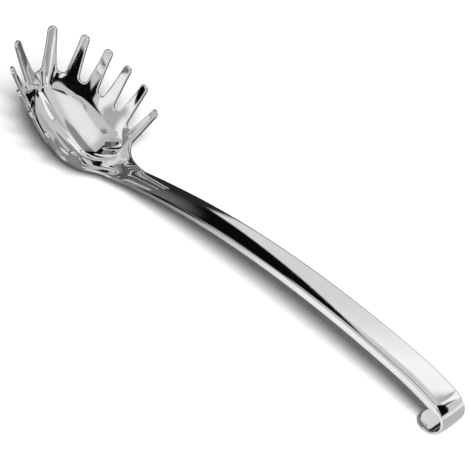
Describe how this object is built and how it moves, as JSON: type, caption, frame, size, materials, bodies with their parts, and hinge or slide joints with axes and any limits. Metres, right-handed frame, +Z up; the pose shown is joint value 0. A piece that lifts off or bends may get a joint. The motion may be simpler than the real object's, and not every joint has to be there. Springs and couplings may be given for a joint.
{
  "type": "pasta server",
  "caption": "All-steel pasta server: a deep oval bowl ringed by upright tines, a scooped neck and a slender hollow handle that ends in a curled hook.",
  "frame": {"origin": "middle of the box of the whole piece, on the surface that the bowl and the hook rest on", "axes": "+X along the handle toward the hook, +Z up the way the tines stand, the bowl at -X"},
  "size_m": [0.3076, 0.0672, 0.0608],
  "materials": {
    "polished_steel": "mirror-polished stainless steel"
  },
  "bodies": {
    "root": {"head": "polished_steel", "neck_strap": "polished_steel", "handle_cover": "polished_steel", "base_plate": "polished_steel", "end_plug": "polished_steel"}
  },
  "joints": []
}
